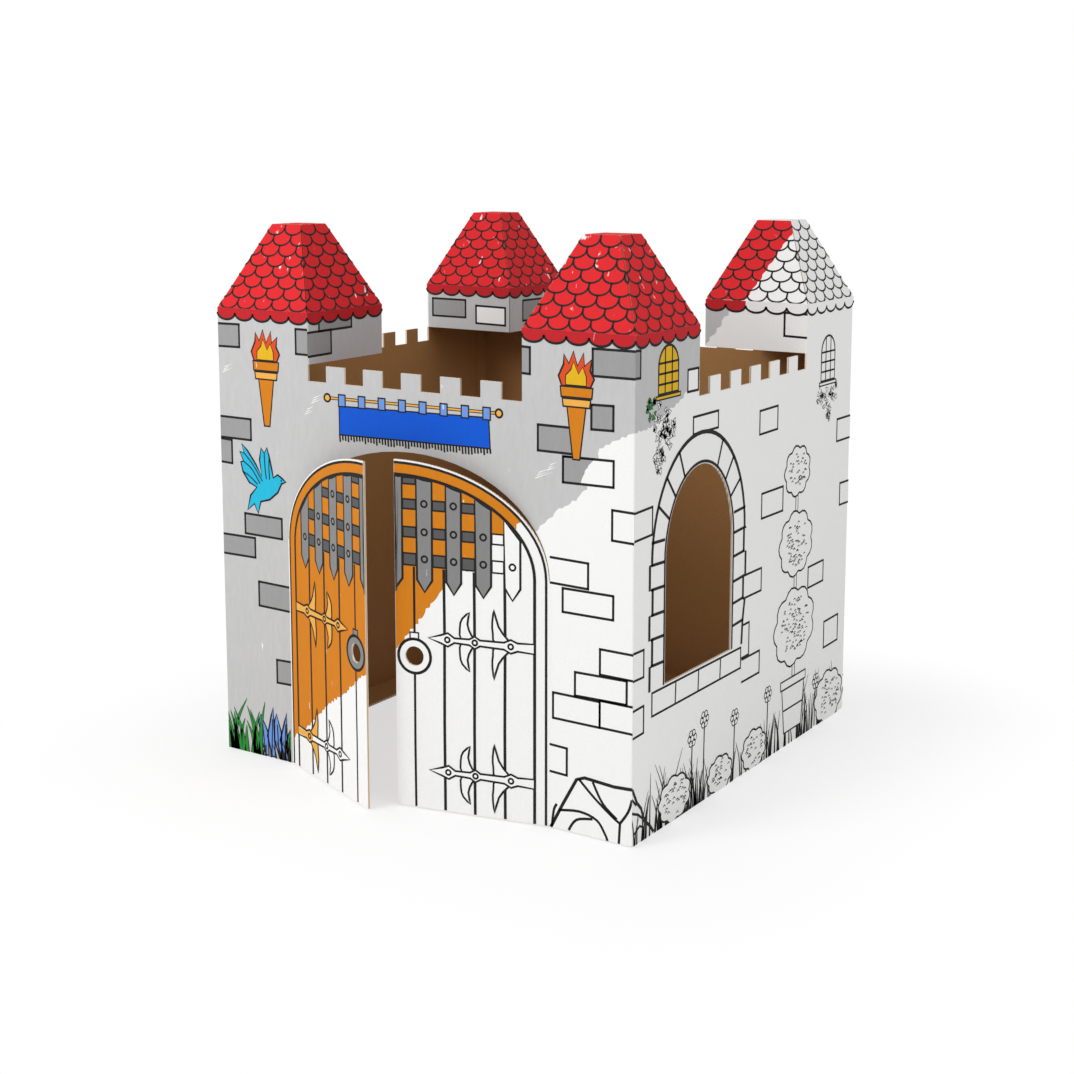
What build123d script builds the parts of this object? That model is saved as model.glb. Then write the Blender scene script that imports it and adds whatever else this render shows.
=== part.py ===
from build123d import *
import os
from math import atan2, degrees, sin, sqrt

# A child's play castle, folded and cut from white-faced corrugated board. Millimetres, +Z up.
# The origin is on the floor, at the middle of the footprint; the doors are in the front wall, at -Y.

# ---- driving dimensions ----
board = 4.0  # thickness of the corrugated board
fold_flat = 0.4  # square edge left inside the round of a folded corner
width = 910.0  # outside, left to right
depth = 880.0  # outside, front to back
wall_height = 770.0  # floor to the top of the merlons
merlon_height = 30.0
merlons_per_side = 5
eave_height = 865.0  # floor to the fold of each roof
tower_side = 220.0
roof_rise = 155.0  # eave fold to flat top
roof_top_side = 72.0

doorway_width = 582.0
doorway_rise = 195.0
doorway_lintel = 110.0  # from the top of the arch up to the battlement gaps
door_kerf = 1.5  # gap that the die leaves round a leaf
door_crease_gap = 1.0  # between the wall and a leaf, at the crease
door_floor_gap = 2.0
finger_hole_dia = 35.0
finger_hole_from_middle = 37.0  # hole centre to the middle of the doorway
finger_hole_height = 279.0
left_door_open = 22.0  # degrees, as it stands
right_door_open = 12.0

window_width = 248.0
window_sill = 256.0
window_rise = 150.0
window_lintel = 120.0  # from the top of the arch up to the battlement gaps
window_from_front = 232.0  # front face to the middle of the window

floor_flap_width = 72.0  # turned in along the floor
flap_end_gap = 3.0  # between the mitred ends of two floor flaps
seam_gap = 1.5  # between two board edges that meet
top_flap_gap = 12.0  # between the two flaps under a flat top
tab_reach = 24.0  # how far a glue tab runs past its seam
tab_lap = 3.0  # how far it starts before the seam
tab_end_gap = 6.0  # from a tab's end to the fold or edge beside it
glue_joint_width = 38.0

# ---- derived sizes ----
fold_radius = board - fold_flat  # outside radius of a folded corner
roof_run = (tower_side - roof_top_side) / 2
roof_slope = atan2(roof_rise, roof_run)
roof_taper = 90 - degrees(roof_slope)
roof_offset = board / sin(roof_slope)  # board thickness, measured level
total_height = eave_height + roof_rise
doorway_half = doorway_width / 2
battlement_floor = wall_height - merlon_height
doorway_spring = battlement_floor - doorway_lintel - doorway_rise  # floor to where the arch begins
window_spring = battlement_floor - window_lintel - window_rise
lid_half = roof_top_side / 2 - board - seam_gap / 2
tower_x = (width - tower_side) / 2
tower_y = (depth - tower_side) / 2
front_face = Plane.XZ.offset(depth / 2)
right_face = Plane.YZ.offset(width / 2)


def prism(length, across, bottom, top):
    """An upright box round the Z axis, from height bottom to height top."""
    return Pos(0, 0, bottom) * extrude(Rectangle(length, across), amount=top - bottom)


def arch(opening_width, bottom, spring, rise):
    """A flat face with upright sides and a half ellipse on top, drawn x across and y up."""
    sides = Pos(0, (bottom + spring) / 2) * Rectangle(opening_width, spring - bottom)
    above_spring = Pos(0, spring + rise / 2) * Rectangle(opening_width, rise)
    head = Pos(0, spring) * Ellipse(opening_width / 2, rise) & above_spring
    return sides + head


# ---- walls ----
def crenel_cutters(length):
    """The gaps between the merlons of a wall that runs along X, with a gap at each end."""
    gaps = merlons_per_side + 1
    pitch = length / (merlons_per_side + gaps)
    cutter = Box(pitch, 3 * board, 2 * merlon_height)
    places = [-length / 2 + pitch * (2 * k + 0.5) for k in range(gaps)]
    return [Pos(x, 0, wall_height) * cutter for x in places]


def floor_flap(start, end):
    """A flap along X from start to end, turned in along +Y, with mitred ends that may meet."""
    half = (end - start) / 2 - flap_end_gap
    mitred = make_face(Polyline((-half, 0), (half, 0), (0, half), close=True))
    strip = Rectangle(2 * half, floor_flap_width, align=(Align.CENTER, Align.MIN))
    return Pos((start + end) / 2, 0, 0) * extrude(mitred & strip, amount=board)


def floor_flaps():
    """Flaps on the left, back and right walls, and one each side of the doorway."""
    inner_x = width / 2 - board
    inner_y = depth / 2 - board
    door_side = doorway_half + board
    return [
        Pos(-inner_x, 0, 0) * Rot(0, 0, -90) * floor_flap(-inner_y, inner_y),
        Pos(inner_x, 0, 0) * Rot(0, 0, 90) * floor_flap(-inner_y, inner_y),
        Pos(0, inner_y, 0) * Rot(0, 0, 180) * floor_flap(-inner_x, inner_x),
        Pos(0, -inner_y, 0) * floor_flap(-inner_x, -door_side),
        Pos(0, -inner_y, 0) * floor_flap(door_side, inner_x),
    ]


def walls():
    """Four walls folded from one strip, with battlements, doorway, window and floor flaps."""
    outside = extrude(RectangleRounded(width, depth, fold_radius), amount=wall_height)
    outside = fillet(outside.edges().group_by(Axis.Z)[0], fold_radius)
    ring = outside - prism(width - 2 * board, depth - 2 * board, -board, wall_height + board)

    front_span = width - 2 * tower_side
    side_span = depth - 2 * tower_side
    wall_middle_x = (width - board) / 2
    wall_middle_y = (depth - board) / 2
    for side in (-1, 1):
        ring -= [Pos(0, side * wall_middle_y, 0) * c for c in crenel_cutters(front_span)]
        ring -= [Pos(side * wall_middle_x, 0, 0) * Rot(0, 0, 90) * c for c in crenel_cutters(side_span)]

    doorway = arch(doorway_width, -board, doorway_spring, doorway_rise)
    ring -= extrude(front_face * doorway, amount=2 * board, both=True)
    window_place = Pos(window_from_front - depth / 2, 0)
    window = window_place * arch(window_width, window_sill, window_spring, window_rise)
    ring -= extrude(right_face * window, amount=2 * board, both=True)
    return ring + floor_flaps()


# ---- towers, drawn round the Z axis with the castle's corner at -X -Y ----
def roof_solid(layers):
    """The roof filled in, or with layers 1 or 2 the space under that many boards."""
    base = tower_side - 2 * layers * roof_offset
    return Pos(0, 0, eave_height) * extrude(
        Rectangle(base, base), amount=roof_rise - layers * board, taper=roof_taper
    )


def tower_space(layers):
    """The space inside a tower under that many boards, open at the bottom."""
    across = tower_side - 2 * layers * board
    return prism(across, across, wall_height - board, eave_height) + roof_solid(layers)


def corner_band(corner, start, end, bottom, top):
    """An upright band out from a corner of the flat top, start to end beside the diagonal."""
    band = Box(tower_side, end - start, top - bottom, align=(Align.MIN, Align.CENTER, Align.CENTER))
    return Rot(0, 0, corner) * Pos(lid_half * sqrt(2), (start + end) / 2, (bottom + top) / 2) * band


def top_flaps():
    """Two flaps tucked in under the flat top, each folded from the panel on its side."""
    flap = Box(2 * lid_half, tower_side / 2, board, align=(Align.CENTER, Align.MIN, Align.MAX))
    place = Pos(0, top_flap_gap / 2, total_height - board)
    return [Rot(0, 0, turn) * place * flap & roof_solid(1) for turn in (0, 180)]


def tower():
    """Two outer faces, two flaps folded in, and a roof panel folded over each of the four."""
    square = Rectangle(tower_side, tower_side)
    folded = square.vertices().sort_by(lambda v: v.X + v.Y)[:3]
    outline = fillet(folded, fold_radius)
    box = Pos(0, 0, wall_height) * extrude(outline, amount=eave_height - wall_height)
    shell = box + roof_solid(0) - tower_space(1)

    half_gap = seam_gap / 2
    above = total_height + board
    hip = (-half_gap, half_gap, eave_height + half_gap, above)
    hip_slits = [corner_band(corner, *hip) for corner in (135, 225, 315)]
    seam_slit = corner_band(45, -half_gap, half_gap, wall_height - board, above)
    shell -= hip_slits + [seam_slit]

    lid_slit = Pos(0, lid_half, total_height) * Box(2 * lid_half + seam_gap, seam_gap, 2 * board)
    shell -= [Rot(0, 0, turn) * lid_slit for turn in (0, 90, 180)]

    second_board = tower_space(1) - tower_space(2)
    roof_tab = (eave_height + tab_end_gap, total_height - board - tab_end_gap)
    flap_tab = (wall_height + tab_end_gap, eave_height - tab_end_gap)
    bands = [corner_band(corner, -tab_lap, tab_reach, *roof_tab) for corner in (45, 135, 225, 315)]
    bands += [corner_band(45, -tab_lap, tab_reach, *flap_tab)]
    shell += [second_board & band for band in bands]
    return shell + top_flaps()


def towers():
    """The four towers, each turned so that its seam faces the middle of the castle."""
    front_left = Pos(-tower_x, -tower_y, 0) * tower()
    front = [front_left, mirror(front_left, about=Plane.YZ)]
    return front + [mirror(t, about=Plane.XZ) for t in front]


def castle():
    """Walls and towers in one folded piece, closed by a glue joint in the back left corner."""
    body = walls() + towers()
    glue_joint = Pos(-width / 2 + 1.5 * board, depth / 2 - board - glue_joint_width / 2, eave_height / 2)
    body += glue_joint * Box(board, glue_joint_width, eave_height - 2 * tab_end_gap)
    seam = Pos(-width / 2, depth / 2, 0) * Rot(0, 0, 135)
    slit = Box(2.4 * board, seam_gap, 2 * eave_height)
    return body - seam * slit


# ---- doors ----
def door_leaf(side, open_angle):
    """One leaf, cut from the front wall and swung out about the crease at its outer edge."""
    outline = arch(
        doorway_width - 2 * door_kerf, door_floor_gap, doorway_spring, doorway_rise - door_kerf
    )
    leaf_width = doorway_half - door_crease_gap - door_kerf / 2
    leaf_middle = side * (doorway_half - door_crease_gap - leaf_width / 2)
    half = Pos(leaf_middle, total_height / 2) * Rectangle(leaf_width, total_height)
    hole = Pos(side * finger_hole_from_middle, finger_hole_height) * Circle(finger_hole_dia / 2)
    leaf = extrude(front_face * ((outline & half) - hole), amount=-board)
    crease = Axis((side * (doorway_half - door_crease_gap / 2), -depth / 2, 0), (0, 0, 1))
    return leaf.rotate(crease, side * open_angle)


parts = {
    "castle_body": castle(),
    "left_door": door_leaf(-1, left_door_open),
    "right_door": door_leaf(1, right_door_open),
}

os.makedirs("parts", exist_ok=True)
for name, shape in parts.items():
    export_step(shape, f"parts/{name}.step")
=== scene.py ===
import random
from math import cos, hypot, pi, radians, sin, sqrt

import bmesh
import bpy
from mathutils import Matrix, Vector


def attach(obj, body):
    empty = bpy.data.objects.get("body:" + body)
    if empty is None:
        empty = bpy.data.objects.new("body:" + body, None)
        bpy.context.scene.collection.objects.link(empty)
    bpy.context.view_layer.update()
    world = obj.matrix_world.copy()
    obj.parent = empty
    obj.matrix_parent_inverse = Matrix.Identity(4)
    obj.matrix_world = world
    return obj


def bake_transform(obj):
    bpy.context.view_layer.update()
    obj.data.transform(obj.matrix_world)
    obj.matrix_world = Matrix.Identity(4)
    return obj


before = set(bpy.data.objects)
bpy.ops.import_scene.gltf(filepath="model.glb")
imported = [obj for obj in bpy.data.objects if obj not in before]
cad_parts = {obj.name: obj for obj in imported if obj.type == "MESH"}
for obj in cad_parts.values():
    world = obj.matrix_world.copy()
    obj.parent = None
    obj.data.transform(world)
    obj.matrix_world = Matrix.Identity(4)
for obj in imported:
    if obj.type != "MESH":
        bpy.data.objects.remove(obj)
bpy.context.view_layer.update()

# A child's play castle of printed corrugated board, half coloured in with crayons.
# Sizes are in millimetres, as on a maker's drawing of the blank, and turn to metres as they are placed.
MM = 0.001
HALF_WIDTH = 455.0
HALF_DEPTH = 440.0
WALL_TOP = 770.0
CRENEL_FLOOR = 740.0
EAVE = 865.0
ROOF_TOP = 1020.0
TOWER = 220.0
TOWER_X = HALF_WIDTH - TOWER / 2
TOWER_Y = HALF_DEPTH - TOWER / 2
LID = 72.0
BOARD = 4.0
PRINTED_SHARE = 0.3  # of the board's thickness, up to which a face counts as its printed liner
KRAFT_SHARE = 0.72  # and past which it counts as its kraft liner
FLUTE_PITCH = 7.6  # C flute
ROOF_RUN = (TOWER - LID) / 2
ROOF_SLANT = hypot(ROOF_RUN, ROOF_TOP - EAVE)
DOORWAY_HALF = 291.0
DOORWAY_RISE = 195.0
SPRING = 435.0  # floor to where the arch of doorway and leaves begins
HINGE_X = 290.5  # from the middle to the crease of a leaf
LEAF_EDGE = 289.5  # half the width of both leaves; their print ends just inside it from the crease
LEAF_RISE = 193.5
LEAF_OPEN = {"left": 22.0, "right": 12.0}
LAYER = 0.07  # from one layer of print to the next, coarser than ink so that the layers stay apart
INK_LINE = 4.4  # the pen that drew bricks and outlines
FINE_LINE = 3.8  # the pen for small things
BOLD_LINE = 5.4  # the pen for planks and arches
STONE_LINE = 7.5  # the pen for the stones round the window
STROKES = 130.0  # wax strokes per metre of the crayons' noise, about 8 mm each
SPECKS = 75.0  # per metre too: bare specks in the wax, about 13 mm apart
SPOTS = 160.0  # per metre too: weak and strong places in the ink, about 6 mm apart

chance = random.Random(7)


# ---- materials ----
def linear(hex_colour):
    """An sRGB hex colour as linear RGBA."""
    parts = [int(hex_colour[k : k + 2], 16) / 255 for k in (1, 3, 5)]
    return [c / 12.92 if c <= 0.04045 else ((c + 0.055) / 1.055) ** 2.4 for c in parts] + [1.0]


def add_node(tree, kind, settings=None, inputs=None, links=None):
    """A node of that kind, with its settings, its sockets' values and the sockets that feed it."""
    node = tree.nodes.new(kind)
    for key, value in (settings or {}).items():
        setattr(node, key, value)
    for key, value in (inputs or {}).items():
        node.inputs[key].default_value = value
    for key, socket in (links or {}).items():
        tree.links.new(socket, node.inputs[key])
    return node


def new_material(name):
    """An empty material and its node tree."""
    material = bpy.data.materials.new(name)
    material.use_nodes = True
    material.node_tree.nodes.clear()
    return material, material.node_tree


def finish_material(tree, colour, roughness, bump=None, height=0.0):
    """A Principled surface in that colour, with a bump if a height socket is given."""
    surface = add_node(
        tree,
        "ShaderNodeBsdfPrincipled",
        inputs={"Roughness": roughness, "IOR": 1.47, "Specular IOR Level": 0.22},
        links={"Base Color": colour},
    )
    if bump is not None:
        raised = add_node(
            tree, "ShaderNodeBump", inputs={"Strength": 0.35, "Distance": height}, links={"Height": bump}
        )
        tree.links.new(raised.outputs["Normal"], surface.inputs["Normal"])
    add_node(tree, "ShaderNodeOutputMaterial", links={"Surface": surface.outputs["BSDF"]})


def flute_waves(tree, place):
    """Waves at the pitch of the flutes, upright on every wall because they run along X + Y."""
    apart = add_node(tree, "ShaderNodeSeparateXYZ", links={"Vector": place})
    along = add_node(
        tree, "ShaderNodeMath", {"operation": "ADD"}, links={0: apart.outputs["X"], 1: apart.outputs["Y"]}
    )
    phase = add_node(
        tree,
        "ShaderNodeMath",
        {"operation": "MULTIPLY"},
        {1: 2 * pi / (FLUTE_PITCH * MM)},
        {0: along.outputs[0]},
    )
    return add_node(tree, "ShaderNodeMath", {"operation": "SINE"}, links={0: phase.outputs[0]}).outputs[0]


def liner(name, hex_main, hex_mottle, roughness, fibre_size):
    """Linerboard over flutes: fibres mottled at fibre_size, and a faint washboard from the flutes."""
    material, tree = new_material(name)
    place = add_node(tree, "ShaderNodeTexCoord").outputs["Object"]
    fibres = add_node(
        tree,
        "ShaderNodeTexNoise",
        inputs={"Scale": 1 / (fibre_size * MM), "Detail": 4.0, "Roughness": 0.6},
        links={"Vector": place},
    )
    tint = add_node(
        tree,
        "ShaderNodeMix",
        {"data_type": "RGBA"},
        {6: linear(hex_main), 7: linear(hex_mottle)},
        {0: fibres.outputs["Fac"]},
    )
    finish_material(tree, tint.outputs[2], roughness, flute_waves(tree, place), 0.12 * MM)
    return material


def cut_edge(name):
    """The cut edge of corrugated board: pale liners, and the darker hollows of the flutes between."""
    material, tree = new_material(name)
    place = add_node(tree, "ShaderNodeTexCoord").outputs["Object"]
    waves = flute_waves(tree, place)
    hollow = add_node(
        tree,
        "ShaderNodeMapRange",
        inputs={"From Min": -0.2, "From Max": 0.9, "To Min": 0.0, "To Max": 0.75},
        links={"Value": waves},
    )
    tint = add_node(
        tree,
        "ShaderNodeMix",
        {"data_type": "RGBA"},
        {6: linear("#E9DCC8"), 7: linear("#B08F66")},
        {0: hollow.outputs[0]},
    )
    finish_material(tree, tint.outputs[2], 0.9, waves, 0.4 * MM)
    return material


def crayon(name, hex_colour, bare=0.70):
    """Wax crayon on white liner: strokes of uneven depth, with specks where the paper shows through."""
    material, tree = new_material(name)
    place = add_node(tree, "ShaderNodeTexCoord").outputs["Object"]
    slant = add_node(
        tree,
        "ShaderNodeMapping",
        inputs={"Rotation": (0.4, 0.5, 0.7), "Scale": (1.0, 1.0, 0.28)},
        links={"Vector": place},
    )
    strokes = add_node(
        tree,
        "ShaderNodeTexNoise",
        inputs={"Scale": STROKES, "Detail": 3.0},
        links={"Vector": slant.outputs[0]},
    )
    deep = [c * 0.86 for c in linear(hex_colour)[:3]] + [1.0]
    tint = add_node(
        tree,
        "ShaderNodeMix",
        {"data_type": "RGBA"},
        {6: linear(hex_colour), 7: deep},
        {0: strokes.outputs["Fac"]},
    )
    specks = add_node(
        tree,
        "ShaderNodeTexNoise",
        inputs={"Scale": SPECKS, "Detail": 6.0},
        links={"Vector": slant.outputs[0]},
    )
    gaps = add_node(
        tree,
        "ShaderNodeMapRange",
        inputs={"From Min": bare, "From Max": bare + 0.05},
        links={"Value": specks.outputs["Fac"]},
    )
    over = add_node(
        tree,
        "ShaderNodeMix",
        {"data_type": "RGBA"},
        {7: linear("#F4F2EE")},
        {0: gaps.outputs[0], 6: tint.outputs[2]},
    )
    finish_material(tree, over.outputs[2], 0.72)
    return material


def black_ink(name):
    """Flexo ink, a little uneven in strength where the plate met the board."""
    material, tree = new_material(name)
    place = add_node(tree, "ShaderNodeTexCoord").outputs["Object"]
    uneven = add_node(
        tree, "ShaderNodeTexNoise", inputs={"Scale": SPOTS, "Detail": 2.0}, links={"Vector": place}
    )
    tint = add_node(
        tree,
        "ShaderNodeMix",
        {"data_type": "RGBA"},
        {6: linear("#0C0C0C"), 7: linear("#262626")},
        {0: uneven.outputs["Fac"]},
    )
    finish_material(tree, tint.outputs[2], 0.7)
    return material


WHITE = liner("white_clay_coated_liner", "#F3F3F2", "#E9E9E8", 0.55, 4)
KRAFT = liner("brown_kraft_liner", "#B28657", "#9A7042", 0.85, 3)
EDGE = cut_edge("corrugated_cut_edge")
INK = black_ink("black_flexo_ink")
GREY_WASH = crayon("light_grey_crayon", "#C3C3C3", 0.72)
STONE = crayon("stone_grey_crayon", "#9C9C9C", 0.74)
IRON = crayon("iron_grey_crayon", "#868686", 0.74)
DARK_IRON = crayon("dark_grey_crayon", "#585858", 0.74)
WOOD = crayon("wood_orange_crayon", "#D27E12", 0.70)
AMBER = crayon("amber_crayon", "#EDAE4C", 0.72)
FLAME = crayon("flame_red_crayon", "#DC4E1E", 0.72)
SUN = crayon("yellow_crayon", "#E2B41C", 0.72)
BLUE = crayon("royal_blue_crayon", "#0256D0", 0.71)
PALE_BLUE = crayon("pale_blue_crayon", "#6F97DE", 0.72)
SKY = crayon("sky_blue_crayon", "#22B8DC", 0.73)
GREEN = crayon("leaf_green_crayon", "#2C8A38", 0.70)
RED = crayon("roof_red_crayon", "#DE2228", 0.67)
# painted shade: the roof's red darkened for the tiles that hang on the upright faces below the eaves
PAINTED_SHADE_RED = crayon("roof_red_painted_shade_crayon", "#C01E26", 0.73)
PALETTE = [
    WHITE, INK, GREY_WASH, STONE, IRON, DARK_IRON, WOOD, AMBER, FLAME, SUN, BLUE, PALE_BLUE, SKY, GREEN,
    RED, PAINTED_SHADE_RED,
]


# ---- the board itself ----
def tower_depth(x, y, z):
    """How deep in the board a point of a tower lies, from its printed face."""
    across = max(abs(abs(x) - TOWER_X), abs(abs(y) - TOWER_Y))
    if z <= EAVE:
        return TOWER / 2 - across
    up = z - EAVE
    slanted = (TOWER / 2 - across) * (ROOF_TOP - EAVE) / ROOF_SLANT - up * ROOF_RUN / ROOF_SLANT
    return min(slanted, ROOF_TOP - z)


def board_side(depth):
    """Printed liner, cut edge or kraft liner, from the depth in the board."""
    if depth < PRINTED_SHARE * BOARD:
        return WHITE
    return KRAFT if depth > KRAFT_SHARE * BOARD else EDGE


def castle_side(middle, normal):
    """The finish of one face of the castle's body."""
    x, y, z = middle / MM
    if z < WALL_TOP:
        depth = min(HALF_WIDTH - abs(x), HALF_DEPTH - abs(y))
        if z < 2 * BOARD and depth > 0:
            if normal.z < -0.3:
                return WHITE
            if depth > BOARD and PRINTED_SHARE * BOARD < z < KRAFT_SHARE * BOARD:
                return EDGE
        side = board_side(depth)
    else:
        side = board_side(tower_depth(x, y, z))
    if side is not WHITE:
        return side
    coloured_tower = x < 0 or y < 0
    if z > EAVE:
        return RED if coloured_tower or normal.x < -0.5 else WHITE
    on_wall_plane = abs(y) > HALF_DEPTH - BOARD or abs(x) > HALF_WIDTH - BOARD
    if on_wall_plane:
        return GREY_WASH if x < -HALF_WIDTH + BOARD and normal.x < -0.5 else WHITE
    return GREY_WASH if coloured_tower else WHITE


def leaf_side(side):
    """The finish of one face of a door leaf, for a leaf that stands open by its own angle."""
    turn = radians(LEAF_OPEN[side])
    outward = Vector((-sin(turn) if side == "left" else sin(turn), -cos(turn), 0))

    def finish(middle, normal):
        facing = normal.dot(outward)
        if facing > 0.9:
            return WHITE
        return KRAFT if facing < -0.9 else EDGE

    return finish


def dress_board(name, finish_of):
    """Gives each face of a CAD node the finish of its side of the board."""
    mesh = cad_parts[name].data
    mesh.materials.clear()
    sides = [WHITE, KRAFT, EDGE, RED, GREY_WASH]
    for material in sides:
        mesh.materials.append(material)
    for face in mesh.polygons:
        face.material_index = sides.index(finish_of(face.center, face.normal))
        face.use_smooth = False


dress_board("castle_body", castle_side)
dress_board("left_door", leaf_side("left"))
dress_board("right_door", leaf_side("right"))


# ---- print and crayon, drawn flat and laid on the board ----
def surface(origin, right, up):
    """The matrix that lays a flat drawing on a surface: right and up along it, and its normal outward."""
    right = Vector(right).normalized()
    up = Vector(up).normalized()
    out = right.cross(up)
    matrix = Matrix((right, up, out)).transposed().to_4x4()
    matrix.translation = Vector(origin) * MM
    return matrix


class Print:
    """One printed piece: shapes and strokes in millimetres, laid on one surface after another."""

    def __init__(self, name, body="castle"):
        self.name = name
        self.body = body
        self.mesh = bmesh.new()
        self.laid = self.mesh.verts.layers.int.new("laid")

    def shape(self, outline, fill, layer=2, line=INK_LINE):
        """A filled outline. Its border, line wide, is black ink."""
        corners = [self.mesh.verts.new((x * MM, z * MM, layer * LAYER * MM)) for x, z in outline]
        face = self.mesh.faces.new(corners)
        face.normal_update()
        if face.normal.z < 0:
            face.normal_flip()
        face.material_index = PALETTE.index(fill)
        if line:
            made = bmesh.ops.inset_region(self.mesh, faces=[face], thickness=line * MM, use_boundary=True)
            for border in made["faces"]:
                border.material_index = PALETTE.index(INK)

    def disc(self, x, z, radius, fill, layer=3, line=INK_LINE, sides=14):
        """A filled circle with an ink border."""
        turn = [2 * pi * k / sides for k in range(sides)]
        self.shape([(x + radius * cos(a), z + radius * sin(a)) for a in turn], fill, layer, line)

    def stroke(self, points, width=INK_LINE, layer=3, fill=None, tip=1.0):
        """A pen stroke along the points, narrowing to the share tip of its width at the far end."""
        count = len(points) - 1
        made = bmesh.ops.create_grid(self.mesh, x_segments=count, y_segments=1, size=1)
        for corner in made["verts"]:
            k = round((corner.co.x + 1) / 2 * count)
            side = 1 if corner.co.y > 0 else -1
            ahead = points[min(k + 1, count)]
            behind = points[max(k - 1, 0)]
            dx = ahead[0] - behind[0]
            dz = ahead[1] - behind[1]
            reach = side * width / 2 * (1 + (tip - 1) * k / count) / max(hypot(dx, dz), 1e-6)
            x = points[k][0] - dz * reach
            z = points[k][1] + dx * reach
            corner.co = (x * MM, z * MM, layer * LAYER * MM)
        for face in {f for corner in made["verts"] for f in corner.link_faces}:
            face.material_index = PALETTE.index(fill or INK)

    def keep_side(self, point, outward):
        """Trims what was drawn since the last laying beyond a straight line."""
        loose = [v for v in self.mesh.verts if not v[self.laid]]
        loose += [e for e in self.mesh.edges if not e.verts[0][self.laid]]
        loose += [f for f in self.mesh.faces if not f.verts[0][self.laid]]
        bmesh.ops.bisect_plane(
            self.mesh,
            geom=loose,
            plane_co=(point[0] * MM, point[1] * MM, 0),
            plane_no=(outward[0], outward[1], 0),
            clear_outer=True,
        )

    def lay(self, matrix):
        """Lays what was drawn since the last laying on a surface."""
        loose = [v for v in self.mesh.verts if not v[self.laid]]
        bmesh.ops.transform(self.mesh, matrix=matrix, verts=loose)
        for corner in loose:
            corner[self.laid] = 1

    def make(self):
        """The finished piece, riding on its body."""
        data = bpy.data.meshes.new(self.name)
        self.mesh.to_mesh(data)
        self.mesh.free()
        for material in PALETTE:
            data.materials.append(material)
        piece = bpy.data.objects.new(self.name, data)
        bpy.context.scene.collection.objects.link(piece)
        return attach(piece, self.body)


def between(a, b, c, d, t):
    """A coordinate at the share t of the way from b to c, on a smooth line through all four."""
    return 0.5 * (
        2 * b + (c - a) * t + (2 * a - 5 * b + 4 * c - d) * t**2 + (3 * b - a - 3 * c + d) * t**3
    )


def curve(points, steps=6):
    """A smooth line through the points."""
    smooth = []
    last = len(points) - 1
    for k in range(last):
        four = [points[min(max(j, 0), last)] for j in (k - 1, k, k + 1, k + 2)]
        for step in range(steps):
            smooth.append(tuple(between(*coordinates, step / steps) for coordinates in zip(*four)))
    return smooth + [points[last]]


def ragged(points, swing=3.5, step=6.0):
    """The uneven border of crayon strokes along the points."""
    border = [points[0]]
    for (x0, z0), (x1, z1) in zip(points, points[1:]):
        length = hypot(x1 - x0, z1 - z0)
        count = max(int(length / step), 1)
        for k in range(1, count + 1):
            off = chance.uniform(-swing, swing)
            t = k / count
            x = x0 + (x1 - x0) * t - (z1 - z0) / length * off
            z = z0 + (z1 - z0) * t + (x1 - x0) / length * off
            border.append((x, z))
    return border


def arch_points(middle, spring, half, rise, start=0.0, end=180.0, count=24):
    """Points along a half ellipse, by angle from its right-hand end."""
    angles = [radians(start + (end - start) * k / count) for k in range(count + 1)]
    return [(middle + half * cos(a), spring + rise * sin(a)) for a in angles]


def brick(art, x0, x1, z0, z1, fill=WHITE, opened=""):
    """A brick that a hand has drawn. opened names a side that runs over a fold or under the tiles."""
    lean = chance.uniform(-1.5, 1.5)
    corners = {"bl": (x0, z0 + lean), "br": (x1, z0), "tr": (x1, z1), "tl": (x0, z1 + lean)}
    art.shape([corners[k] for k in ("bl", "br", "tr", "tl")], fill, 2, 0)
    reach = INK_LINE / 2
    left = x0 - (0 if "left" in opened else reach)
    right = x1 + (0 if "right" in opened else reach)
    art.stroke([(left, z0 + lean), (right, z0)], layer=3)
    if "top" not in opened:
        art.stroke([(left, z1 + lean), (right, z1)], layer=3)
    if "left" not in opened:
        art.stroke([corners["bl"], corners["tl"]], layer=3)
    if "right" not in opened:
        art.stroke([corners["br"], corners["tr"]], layer=3)


def blades(art, x0, x1, tall, count, fill=None):
    """Grass along the floor, each blade a tapering stroke."""
    for _ in range(count):
        x = chance.uniform(x0, x1)
        height = tall * chance.uniform(0.45, 1.0)
        bend = chance.uniform(-0.35, 0.35) * height
        line = curve([(x, 0.5), (x + bend * 0.3, height * 0.55), (x + bend, height)], 4)
        if fill:
            art.stroke(line, width=16, layer=4, tip=0.08)
            art.stroke(line, width=11, layer=5, fill=fill, tip=0.05)
        else:
            art.stroke(line, width=5.2, layer=4, tip=0.15)


def torch(art, x, low):
    """A wall torch: a tapered handle, two collars and a flame of three tongues."""
    handle = [(x - 8, low), (x + 8, low), (x + 20, low + 92), (x - 20, low + 92)]
    art.shape(handle, WOOD, 4, FINE_LINE)
    for height, half, deep in ((88, 27, 16), (104, 31, 20)):
        z = low + height
        collar = [(x - half, z), (x + half, z), (x + half + 2, z + deep), (x - half - 2, z + deep)]
        art.shape(collar, AMBER if height < 100 else WOOD, 5, FINE_LINE)
    outer = [
        (-30, 122), (-37, 140), (-27, 160), (-25, 178), (-15, 163), (-6, 184), (2, 160), (14, 182),
        (16, 160), (30, 172), (28, 152), (36, 138), (28, 122),
    ]
    art.shape([(x + a, low + b) for a, b in outer], FLAME, 4, FINE_LINE)
    inner = [(-22, 125), (-22, 142), (-12, 152), (-6, 166), (4, 146), (12, 158), (20, 142), (20, 125)]
    art.shape([(x + a, low + b) for a, b in inner], SUN, 5, 2.2)


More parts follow.
